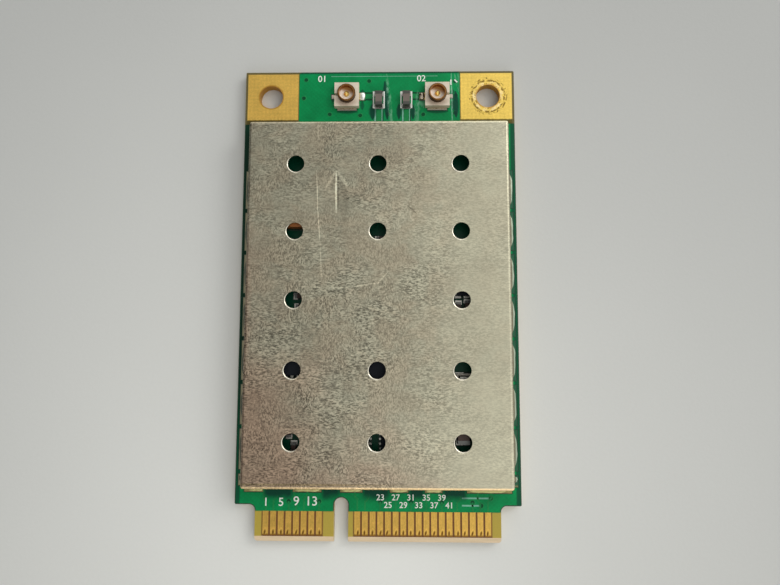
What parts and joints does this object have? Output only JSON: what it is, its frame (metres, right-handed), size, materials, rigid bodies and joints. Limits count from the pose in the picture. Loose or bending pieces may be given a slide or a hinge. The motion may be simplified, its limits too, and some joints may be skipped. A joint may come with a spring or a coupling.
{
  "type": "mini card wireless adapter",
  "caption": "Flat circuit card with an edge connector tongue, a vented metal shield can, gold screw lands and miniature coaxial antenna sockets, for wireless networking.",
  "frame": {"origin": "centre of the card's length and width, on the bottom face it lies on", "axes": "+Z out of the face with the shield, +Y towards the antenna end, +X to the right seen from above with the antenna end away"},
  "size_m": [0.03, 0.051, 0.003],
  "materials": {
    "laminate": "satin",
    "solder_mask": "gloss",
    "gold_plating": "satin",
    "tin_plating": "satin",
    "solder": "satin",
    "shield_sheet": "brushed",
    "connector_plastic": "matte",
    "package_resin": "matte",
    "brown_ceramic": "satin",
    "pale_ceramic": "matte",
    "ferrite": "matte"
  },
  "bodies": {
    "root": {"amplifier_terminals": "tin_plating", "antenna_lands": "tin_plating", "antenna_switch": "package_resin", "antenna_switch_terminals": "tin_plating", "aux_amplifier": "package_resin", "aux_antenna_capacitor": "brown_ceramic", "aux_antenna_capacitor_ends": "tin_plating", "aux_connector_housing": "connector_plastic", "aux_connector_pin": "gold_plating", "aux_connector_shell": "gold_plating", "band_filter_ends": "tin_plating", "band_filters": "pale_ceramic", "bias_resistor_ends": "tin_plating", "bias_resistors": "package_resin", "bottom_edge_contacts": "gold_plating", "bottom_solder_mask": "solder_mask", "bulk_capacitor": "brown_ceramic", "bulk_capacitor_ends": "tin_plating", "bypass_capacitor_ends": "tin_plating", "bypass_capacitors": "brown_ceramic", "component_lands": "tin_plating", "crystal_base": "pale_ceramic", "crystal_lid": "tin_plating", "laminate_board": "laminate", "left_mounting_land": "gold_plating", "main_amplifier": "package_resin", "main_antenna_capacitor": "brown_ceramic", "main_antenna_capacitor_ends": "tin_plating", "main_connector_housing": "connector_plastic", "main_connector_pin": "gold_plating", "main_connector_shell": "gold_plating", "power_inductor": "ferrite", "power_inductor_ends": "tin_plating", "processor": "package_resin", "processor_terminals": "tin_plating", "radio_chip": "package_resin", "radio_chip_terminals": "tin_plating", "radio_regulator": "package_resin", "radio_regulator_terminals": "tin_plating", "resistor_array_terminals": "tin_plating", "resistor_arrays": "package_resin", "right_mounting_land": "gold_plating", "serial_memory": "package_resin", "serial_memory_leads": "tin_plating", "shield_can": "shield_sheet", "shield_lands": "tin_plating", "shield_solder": "solder", "supply_capacitor": "brown_ceramic", "supply_capacitor_ends": "tin_plating", "supply_regulator": "package_resin", "supply_regulator_leads": "tin_plating", "top_edge_contacts": "gold_plating", "top_solder_mask": "solder_mask"}
  },
  "joints": []
}
